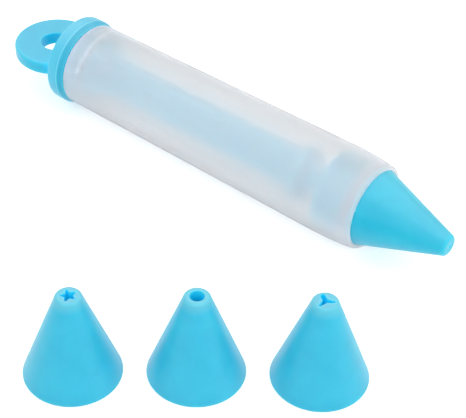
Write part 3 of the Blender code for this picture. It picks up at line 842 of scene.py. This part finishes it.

# %% [markdown]
# The tail cap is one soft moulding: a collar against the barrel's rear rim, a plug in the bore, and a
# thick flat loop to hang the syringe by. The collar and the plug are turned, and so is the loop,
# about an upright axis. A Boolean union fuses them, and a thin fillet that follows the line where they
# meet is fused in as well, because no rubber moulding has a knife-sharp inside corner. A fine ridge runs
# round the collar where the mould's halves met. Four tones along the axis paint light and shade on the
# bands: a painted sheen behind the ridge, a painted highlight along it, painted shade from it forwards,
# and a painted glint on the plug's front edge.

# %% Tail cap
COLLAR_THICKNESS = 0.0061
COLLAR_CHAMFER_LENGTH = 0.0019
COLLAR_CHAMFER_DEPTH = 0.0009
COLLAR_ROUNDING = 0.0008
RIDGE_LENGTH = 0.0004
RIDGE_HEIGHT = 0.00015
RIDGE_HOLLOW_START = 0.0006
RIDGE_HOLLOW_END = 0.0012
PLUG_ROUNDING = 0.0006
LOOP_RADIUS = 0.01352
LOOP_HOLE_RADIUS = 0.0048
LOOP_THICKNESS = 0.0044
LOOP_ROUNDING = 0.0009
LOOP_HOLE_ROUNDING = 0.0005
FILLET_RADIUS = 0.0006
FILLET_SINK = 0.0003
FLAT_SHARES = (-0.75, -0.5, -0.25, 0, 0.25, 0.5, 0.75)
SOCKET_RADIUS = 0.0038

COLLAR_RADIUS = (cap_high.y - cap_low.y) / 2
COLLAR_FRONT = -CLEARANCE
COLLAR_REAR = COLLAR_FRONT - COLLAR_THICKNESS
PLUG_FRONT = cap_high.x - REAR_RIM
SOCKET_END = rod_low.x - REAR_RIM - CLEARANCE
LOOP_CENTRE = cap_low.x - REAR_RIM + LOOP_RADIUS
COLLAR_CREASE = COLLAR_FRONT - COLLAR_CHAMFER_LENGTH
TONE_WIDTH = 0.0002
RIDGE_TONE_LENGTH = 0.0003
PLUG_TONE_LENGTH = 0.0009
# Painted light on the collar: sheen behind the ridge, a highlight along it, shade in front of it, a glint on
# the plug's edge.
CAP_PAINTED_LIGHT_BANDS = (
    (COLLAR_REAR, (0.20, 0.62, 0.82, 1.0), 0.35),
    (COLLAR_CREASE - RIDGE_TONE_LENGTH, (0.35, 0.84, 0.97, 1.0), 0.35),
    (COLLAR_CREASE + TONE_WIDTH, (0.004, 0.43, 0.63, 1.0), 0.9),
    (PLUG_FRONT - PLUG_TONE_LENGTH, (0.75, 0.86, 0.95, 1.0), 0.15),
)
CAP_PAINTED_LIGHT_TONES = [(place - TONE_WIDTH, place, colour, share) for place, colour, share in CAP_PAINTED_LIGHT_BANDS]
CAP_BLUES = ((0.020, 0.520, 0.740, 1.0), (0.030, 0.565, 0.785, 1.0))
CAP_SCALES = {"cloud_scale": 90.0, "nook_reach": 0.009, "nook_full": 0.35}
CAP_SILICONE = blue_silicone("cap_silicone", CAP_BLUES, tones=CAP_PAINTED_LIGHT_TONES, **CAP_SCALES)


def collar_profile():
    """Socket floor and wall, plug, collar with a fine ridge at its crease, and the flat rear face."""
    plug_edge = PLUG_FRONT - PLUG_ROUNDING
    rear_edge = COLLAR_REAR + COLLAR_ROUNDING
    points = [(0.0, SOCKET_END), (SOCKET_RADIUS, SOCKET_END), (SOCKET_RADIUS, PLUG_FRONT)]
    points += arc((SLIDING_RADIUS - PLUG_ROUNDING, plug_edge), PLUG_ROUNDING, 90, 0)
    points += [(SLIDING_RADIUS, COLLAR_FRONT), (COLLAR_RADIUS - COLLAR_CHAMFER_DEPTH, COLLAR_FRONT)]
    points += arc((COLLAR_RADIUS - RIDGE_HEIGHT, COLLAR_CREASE), (RIDGE_HEIGHT, RIDGE_LENGTH / 2), 60, -90)
    points.append((COLLAR_RADIUS - RIDGE_HEIGHT, COLLAR_CREASE - RIDGE_HOLLOW_START))
    points.append((COLLAR_RADIUS, COLLAR_CREASE - RIDGE_HOLLOW_END))
    points += arc((COLLAR_RADIUS - COLLAR_ROUNDING, rear_edge), COLLAR_ROUNDING, 0, -90)
    points.append((0.0, COLLAR_REAR))
    return points


def loop_profile():
    """Half section of the hanging loop, a flat ring with soft edges."""
    half = LOOP_THICKNESS / 2
    hole_centre = LOOP_HOLE_RADIUS + LOOP_HOLE_ROUNDING
    edge_centre = LOOP_RADIUS - LOOP_ROUNDING
    points = arc((hole_centre, half - LOOP_HOLE_ROUNDING), LOOP_HOLE_ROUNDING, 180, 90)
    points += arc((edge_centre, half - LOOP_ROUNDING), LOOP_ROUNDING, 90, 0)
    points += arc((edge_centre, LOOP_ROUNDING - half), LOOP_ROUNDING, 0, -90)
    points += arc((hole_centre, LOOP_HOLE_ROUNDING - half), LOOP_HOLE_ROUNDING, -90, -180)
    return points


def loop_outline_on_collar():
    """Where the loop's surface meets the collar's rear face: points across and up, clockwise."""
    half = LOOP_THICKNESS / 2
    depth = COLLAR_REAR - LOOP_CENTRE
    quarter = []
    edge_centre = (LOOP_RADIUS - LOOP_ROUNDING, half - LOOP_ROUNDING)
    for radius, height in arc(edge_centre, LOOP_ROUNDING, 90, 0):
        quarter.append(Vector((math.sqrt(radius**2 - depth**2), height)))
    across = [Vector((quarter[0].x * share, half)) for share in FLAT_SHARES]
    right = quarter + [Vector((point.x, -point.y)) for point in reversed(quarter)]
    return across + right + [-point for point in across] + [-point for point in right]


def make_fillet():
    """A slim ring with a hollow round section, sunk into both the collar and the loop."""
    section = [(-FILLET_SINK, -FILLET_SINK), (FILLET_RADIUS, -FILLET_SINK)]
    section += arc((FILLET_RADIUS, FILLET_RADIUS), FILLET_RADIUS, 270, 180)
    section.append((-FILLET_SINK, FILLET_RADIUS))
    lines = []
    for out, behind in section:
        moved = widened(loop_outline_on_collar(), -out)
        lines.append([Vector((point.x, point.y, COLLAR_REAR - behind)) for point in moved])
    return skin_over("fillet", list(zip(*lines)), SYRINGE, looped=True)


cap = turned("tail_cap_moulding", collar_profile(), SYRINGE)
upright = SYRINGE @ Matrix.Translation((0, 0, LOOP_CENTRE)) @ Matrix.Rotation(-math.pi / 2, 4, "X")
loop = turned("loop", loop_profile(), upright, looped=True)
join_solids(cap, [loop, make_fillet()])
dress(cap, "tail_cap", CAP_SILICONE)

# %% [markdown]
# The plunger rod carries the thumb's push to the piston. It is a stiff moulding with two crossed ribs,
# which are stiff and light and leave the mould easily. The ribs widen towards the root disc behind the
# plug, and in front a flange and a bare neck lead to the head that the piston snaps over. The core is turned,
# each rib is a skin over rounded rectangles, and a union fuses the three.

# %% Plunger rod
ROOT_THICKNESS = 0.0016
FLANGE_GAP = 0.0039
FLANGE_THICKNESS = 0.003
NECK_RADIUS = 0.004
NECK_LENGTH = 0.009
HEAD_RADIUS = 0.0065
HEAD_RIM_HEIGHT = 0.0018
HEAD_NOSE_RADIUS = 0.0036
CORE_RADIUS = 0.0022
RIB_HALF_WIDTH = 0.0079
RIB_THICKNESS = 0.002
RIB_ROUNDING = 0.0004
FLARE_LENGTH = 0.0162
FLARE_SET_IN = 0.0005
FLARE_STEPS = 10
DISC_ROUNDING = 0.0004
DISC_ARC_STEPS = 4
RIB_ARC_STEPS = 3
CORE_STEPS = 96
SPIGOT_RADIUS = 0.0035

ROOT_RADIUS = (rod_high.y - rod_low.y) / 2
ROOT_REAR = PLUG_FRONT + CLEARANCE
ROOT_FRONT = ROOT_REAR + ROOT_THICKNESS
HEAD_FRONT = rod_high.x - REAR_RIM
PISTON_REAR = piston_low.x - REAR_RIM
FLANGE_FRONT = PISTON_REAR - NECK_LENGTH
FLANGE_REAR = FLANGE_FRONT - FLANGE_THICKNESS
FLANGE_RADIUS = BORE_RADIUS - FLANGE_GAP
SPIGOT_END = rod_low.x - REAR_RIM
PISTON_FLOOR = 0.0016
HEAD_REAR = PISTON_REAR + PISTON_FLOOR + CLEARANCE


def soft_disc(radius, front, rear, rounding=DISC_ROUNDING):
    """Rim of a disc with rounded edges, from its front to its rear."""
    points = arc((radius - rounding, front - rounding), rounding, 90, 0, DISC_ARC_STEPS)
    return points + arc((radius - rounding, rear + rounding), rounding, 0, -90, DISC_ARC_STEPS)


def core_profile():
    """Head, neck, flange, core, root disc and spigot."""
    points = [(0.0, HEAD_FRONT), (HEAD_NOSE_RADIUS, HEAD_FRONT), (HEAD_RADIUS, HEAD_REAR + HEAD_RIM_HEIGHT)]
    points += [(HEAD_RADIUS, HEAD_REAR), (NECK_RADIUS, HEAD_REAR), (NECK_RADIUS, FLANGE_FRONT)]
    points += soft_disc(FLANGE_RADIUS, FLANGE_FRONT, FLANGE_REAR)
    points += [(CORE_RADIUS, FLANGE_REAR), (CORE_RADIUS, ROOT_FRONT)]
    points += soft_disc(ROOT_RADIUS, ROOT_FRONT, ROOT_REAR)
    points += [(SPIGOT_RADIUS, ROOT_REAR), (SPIGOT_RADIUS, SPIGOT_END), (0.0, SPIGOT_END)]
    return points


def rounded_rectangle(half_width, half_thickness, rounding, height):
    """A ring in the shape of a rib's section."""
    points = []
    for corner, (right, up) in enumerate(((1, 1), (-1, 1), (-1, -1), (1, -1))):
        centre = (right * (half_width - rounding), up * (half_thickness - rounding))
        turn = corner * 90
        rounded = arc(centre, rounding, turn, turn + 90, RIB_ARC_STEPS)
        points += [Vector((x, y, height)) for x, y in rounded]
    return points


def make_rib(name, turn):
    """One rib from inside the root disc to inside the flange, wide at its root and then even."""
    rear = ROOT_FRONT - ROOT_THICKNESS / 2
    front = FLANGE_REAR + FLANGE_THICKNESS / 2
    extra_width = ROOT_RADIUS - FLARE_SET_IN - RIB_HALF_WIDTH
    sections = []
    for step in range(FLARE_STEPS + 1):
        share = step / FLARE_STEPS
        sections.append((rear + FLARE_LENGTH * share, RIB_HALF_WIDTH + extra_width * (1 - share) ** 2))
    sections.append((front, RIB_HALF_WIDTH))
    rings = [[Vector((0, 0, rear))]]
    for station, half_width in sections:
        rings.append(rounded_rectangle(half_width, RIB_THICKNESS / 2, RIB_ROUNDING, station))
    rings.append([Vector((0, 0, front))])
    return skin_over(name, rings, SYRINGE @ Matrix.Rotation(turn, 4, "Z"))


rod = turned("plunger_rod_moulding", core_profile(), SYRINGE, count=CORE_STEPS)
join_solids(rod, [make_rib("rib_upright", math.pi / 2), make_rib("rib_level", 0.0)])
dress(rod, "plunger_rod", ROD_PLASTIC)

# %% [markdown]
# The piston is the soft seal that pushes the icing: a dome in front, two sealing rings that bear on
# the bore, a waist between them, and a pocket behind that holds the rod's head.

# %% Piston
PISTON_DOME_HEIGHT = 0.0016
DOME_STEPS = 10
SEAL_LENGTH = 0.0021
SEAL_ROUNDING = 0.0005
WAIST_DEPTH = 0.001
PISTON_FRONT = piston_high.x - REAR_RIM - PISTON_DOME_HEIGHT


def piston_profile():
    """Dome and sealing rings down to the rear face, then up inside the pocket."""
    throat_radius = NECK_RADIUS + CLEARANCE
    pocket_radius = HEAD_RADIUS + CLEARANCE
    pocket_floor = PISTON_REAR + PISTON_FLOOR
    pocket_top = HEAD_FRONT + CLEARANCE
    waist_radius = SLIDING_RADIUS - WAIST_DEPTH
    points = arc((0.0, PISTON_FRONT), (waist_radius, PISTON_DOME_HEIGHT), 90, 0, DOME_STEPS)
    points[0] = (0.0, PISTON_FRONT + PISTON_DOME_HEIGHT)
    points += soft_disc(SLIDING_RADIUS, PISTON_FRONT, PISTON_FRONT - SEAL_LENGTH, SEAL_ROUNDING)
    points += [(waist_radius, PISTON_FRONT - SEAL_LENGTH), (waist_radius, PISTON_REAR + SEAL_LENGTH)]
    points += soft_disc(SLIDING_RADIUS, PISTON_REAR + SEAL_LENGTH, PISTON_REAR, SEAL_ROUNDING)
    points += [(throat_radius, PISTON_REAR), (throat_radius, pocket_floor), (pocket_radius, pocket_floor)]
    points.append((pocket_radius, HEAD_REAR + HEAD_RIM_HEIGHT + CLEARANCE))
    points += [(HEAD_NOSE_RADIUS + CLEARANCE, pocket_top), (0.0, pocket_top)]
    return points


dress(turned("piston_seal", piston_profile(), SYRINGE), "piston", PISTON_SILICONE)

# %% [markdown]
# The set lies on a pale floor in a white studio. The floor is an ordinary matt surface, so it takes
# the object's shadow. Rays that come straight from the camera, from a gloss or through the frosted
# wall also see a plain glow on it, which lifts it to the photograph's white without putting more light on
# the object. Seen through the wall the glow is weaker, so the haze of the barrel keeps its soft greys.

# %% Floor
FLOOR_HALF_SIZE = 1.5
FLOOR_DROP = 0.00005
FLOOR_COLOUR = (0.90, 0.90, 0.90, 1.0)
FLOOR_SHADE = (0.88, 0.88, 0.885, 1.0)
FLOOR_NOISE = {"Scale": 6.0, "Detail": 2.0}
FLOOR_LIFT = 0.45
FLOOR_LIFT_THROUGH = 0.04


def straight_rays(tree):
    """The kinds of ray, and a mask of those that come from the camera or from a gloss."""
    path = add_node(tree, "ShaderNodeLightPath")
    return path, math_node(tree, "MAXIMUM", path.outputs["Is Camera Ray"], path.outputs["Is Glossy Ray"])


def floor_material():
    """Matt and pale, with a glow for the rays that show a background."""
    material, tree, shader = new_material("studio_floor")
    tree.nodes.remove(shader)
    patches = add_node(tree, "ShaderNodeTexNoise", {"Vector": own_place(tree), **FLOOR_NOISE})
    colour = mix_colour(tree, patches.outputs["Fac"], FLOOR_COLOUR, FLOOR_SHADE)
    matt = add_node(tree, "ShaderNodeBsdfDiffuse", {"Color": colour})
    path, straight = straight_rays(tree)
    seen = math_node(tree, "MULTIPLY", straight, FLOOR_LIFT)
    through = math_node(tree, "MULTIPLY", path.outputs["Is Transmission Ray"], FLOOR_LIFT_THROUGH)
    glow = add_node(tree, "ShaderNodeEmission", {"Strength": math_node(tree, "ADD", seen, through)})
    both = add_node(tree, "ShaderNodeAddShader", {0: matt.outputs[0], 1: glow.outputs[0]})
    tree.links.new(both.outputs[0], tree.nodes["Material Output"].inputs["Surface"])
    return material


def add_floor():
    """A wide level sheet under the set."""
    size = FLOOR_HALF_SIZE
    mesh = bpy.data.meshes.new("floor")
    corners = [(-size, -size, 0), (size, -size, 0), (size, size, 0), (-size, size, 0)]
    mesh.from_pydata(corners, [], [(0, 1, 2, 3)])
    mesh.materials.append(floor_material())
    floor = bpy.data.objects.new("floor", mesh)
    bpy.context.scene.collection.objects.link(floor)
    floor.location.z = -FLOOR_DROP


add_floor()

# %% [markdown]
# The light is plain: an even white room, one broad soft box low in front, a weaker one on the side of
# the nozzle's tip, which opens the shadows between the spare nozzles, and a large panel above.
# The panel is there for its reflection, the pale sheen on what faces up, so it is kept out of
# the matt light, where it would only make the object brighter than its colours are written. The
# world shows white to the camera, to gloss and through the frosted wall, while the light that falls on
# the object keeps a slightly lower level.

# %% World and lamps
ROOM_LEVEL = 0.91
WHITE_LEVEL = 1.0
FRONT_PLACE = Vector((0.35, -0.90, 0.55))
FRONT_SIZE = 0.9
FRONT_POWER = 1.9
SIDE_PLACE = Vector((0.88, 0.10, 0.35))
SIDE_SIZE = 0.5
SIDE_POWER = 1.35
PANEL_PLACE = Vector((-0.10, 0.15, 0.70))
PANEL_SIZE = 1.5
PANEL_BRIGHTNESS = 2.6


def add_world():
    """The white room."""
    world = bpy.data.worlds.new("studio")
    bpy.context.scene.world = world
    world.use_nodes = True
    tree = world.node_tree
    path, straight = straight_rays(tree)
    seen = math_node(tree, "MAXIMUM", straight, path.outputs["Is Transmission Ray"])
    background = tree.nodes["Background"].inputs
    tree.links.new(spread(tree, seen, least=ROOM_LEVEL, most=WHITE_LEVEL), background["Strength"])
    background["Color"].default_value = (1.0, 1.0, 1.0, 1.0)


def add_soft_box(name, place, size, power):
    """A square lamp that faces the middle of the set."""
    lamp = bpy.data.lights.new(name, "AREA")
    lamp.size = size
    lamp.energy = power
    box = bpy.data.objects.new(name, lamp)
    bpy.context.scene.collection.objects.link(box)
    box.location = place
    box.rotation_euler = (-place).to_track_quat("-Z", "Y").to_euler()
    return box


add_world()
add_soft_box("front_box", FRONT_PLACE, FRONT_SIZE, FRONT_POWER)
add_soft_box("side_box", SIDE_PLACE, SIDE_SIZE, SIDE_POWER)
panel = add_soft_box("panel", PANEL_PLACE, PANEL_SIZE, PANEL_BRIGHTNESS * math.pi * PANEL_SIZE**2)
panel.visible_diffuse = False
panel.visible_transmission = False
print("lamps:", ", ".join(sorted(lamp.name for lamp in bpy.data.lights)))
